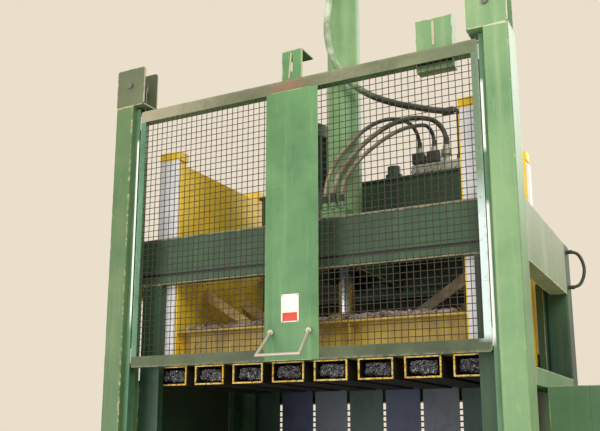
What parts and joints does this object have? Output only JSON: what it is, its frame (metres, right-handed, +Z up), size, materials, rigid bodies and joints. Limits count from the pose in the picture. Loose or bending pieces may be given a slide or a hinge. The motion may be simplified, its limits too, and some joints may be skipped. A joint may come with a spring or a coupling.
{
  "type": "recycling baler",
  "caption": "Vertical press that packs loose waste into tied bales, with a counterbalanced mesh gate, a bale door and a top cylinder.",
  "frame": {"origin": "on the floor, at the centre of the four anchor holes", "axes": "+X to the machine's right seen from the front, +Y to the back, +Z up"},
  "size_m": [2.0206, 1.1045, 3.76],
  "materials": {
    "green_paint": "worn, dusty enamel",
    "yellow_paint": "worn enamel",
    "bare_steel": "dull",
    "rod_chrome": "oiled",
    "nylon": "matte",
    "hose_rubber": "dusty",
    "dark_panel": "worn",
    "switch_grey": "satin",
    "button_green": "gloss",
    "button_red": "gloss"
  },
  "bodies": {
    "frame": {"base_skids": "green_paint", "base_cross_members": "green_paint", "floor_plate": "green_paint", "floor_channels": "bare_steel", "front_post_left": "green_paint", "front_post_right": "green_paint", "rear_post_left": "green_paint", "rear_post_right": "green_paint", "front_jambs": "green_paint", "rear_jambs": "green_paint", "side_wall_left": "green_paint", "side_wall_right": "green_paint", "side_beam_left": "green_paint", "side_beam_right": "green_paint", "front_beam": "green_paint", "rear_beam": "green_paint", "rear_panels": "dark_panel", "rear_ribs": "green_paint", "cylinder_bearers": "green_paint", "cylinder_barrel": "green_paint", "cylinder_gland": "bare_steel", "gate_rails": "green_paint", "sheave_bracket_left": "green_paint", "sheave_bracket_right": "green_paint", "sheave_bolts": "bare_steel", "gate_ropes": "bare_steel", "top_tie": "green_paint", "latch_bracket": "green_paint", "switch_box": "green_paint", "door_hinges": "bare_steel", "control_cabinet": "green_paint", "oil_tank": "green_paint", "motor": "green_paint", "valve_block": "bare_steel", "main_hose": "hose_rubber", "lower_hoses": "hose_rubber", "rear_hose": "hose_rubber"},
    "platen": {"piston_rod": "rod_chrome", "platen_channels": "yellow_paint", "platen_deck": "yellow_paint", "platen_braces": "yellow_paint", "platen_side_left": "yellow_paint", "platen_side_right": "yellow_paint", "guide_pads": "nylon"},
    "gate": {"gate_frame": "green_paint", "gate_mesh_left": "bare_steel", "gate_mesh_right": "bare_steel", "gate_panel": "green_paint", "gate_handle": "bare_steel", "gate_shoes": "nylon"},
    "left_weight": {"counterweight_left": "bare_steel"},
    "right_weight": {"counterweight_right": "bare_steel"},
    "left_pulley": {"sheave_left": "bare_steel"},
    "right_pulley": {"sheave_right": "bare_steel"},
    "door": {"bale_door": "green_paint"},
    "latch": {"door_latch": "yellow_paint"},
    "cabinet_lid": {"cabinet_door": "green_paint"},
    "switch_knob": {"main_switch": "switch_grey"},
    "start": {"start_button": "button_green"},
    "stop": {"stop_button": "button_red"}
  },
  "joints": [
    {"name": "press_stroke", "type": "slide", "parent": "frame", "child": "platen", "axis": [0, 0, -1], "range_m": [0, 1]},
    {"name": "gate_slide", "type": "slide", "parent": "frame", "child": "gate", "axis": [0, 0, -1], "range_m": [0, 0.93], "deforming": ["gate_ropes"]},
    {"name": "left_weight_rise", "type": "slide", "parent": "frame", "child": "left_weight", "axis": [0, 0, 1], "range_m": [0, 0.93]},
    {"name": "right_weight_rise", "type": "slide", "parent": "frame", "child": "right_weight", "axis": [0, 0, 1], "range_m": [0, 0.93]},
    {"name": "left_pulley_turn", "type": "hinge", "parent": "frame", "child": "left_pulley", "pos_m": [-0.79, -0.4625, 3.106], "axis": [0, 1, 0], "range_deg": [0, 1070]},
    {"name": "right_pulley_turn", "type": "hinge", "parent": "frame", "child": "right_pulley", "pos_m": [0.79, -0.4625, 3.106], "axis": [0, 1, 0], "range_deg": [-1070, 0]},
    {"name": "door_swing", "type": "hinge", "parent": "frame", "child": "door", "pos_m": [-0.789, -0.528, 0.5], "axis": [0, 0, -1], "range_deg": [0, 110]},
    {"name": "latch_swing", "type": "hinge", "parent": "frame", "child": "latch", "pos_m": [0.82, -0.524, 0.535], "axis": [0, 1, 0], "range_deg": [0, 90]},
    {"name": "lid_swing", "type": "hinge", "parent": "frame", "child": "cabinet_lid", "pos_m": [1.0036, 0.214, 1.46], "axis": [0, 0, 1], "range_deg": [0, 120]},
    {"name": "main_switch_turn", "type": "hinge", "parent": "cabinet_lid", "child": "switch_knob", "pos_m": [1.04, -0.125, 1.695], "axis": [1, 0, 0], "range_deg": [0, 90]},
    {"name": "start_push", "type": "slide", "parent": "cabinet_lid", "child": "start", "axis": [-1, 0, 0], "range_m": [0, 0.005], "stiffness_N_per_m": 800},
    {"name": "stop_push", "type": "slide", "parent": "cabinet_lid", "child": "stop", "axis": [-1, 0, 0], "range_m": [0, 0.005], "stiffness_N_per_m": 800}
  ],
  "couplings": [
    {"joint": "left_weight_rise", "follows": "gate_slide", "ratio": 1},
    {"joint": "right_weight_rise", "follows": "gate_slide", "ratio": 1},
    {"joint": "left_pulley_turn", "follows": "gate_slide", "rad_per_m": 20},
    {"joint": "right_pulley_turn", "follows": "gate_slide", "rad_per_m": -20}
  ]
}
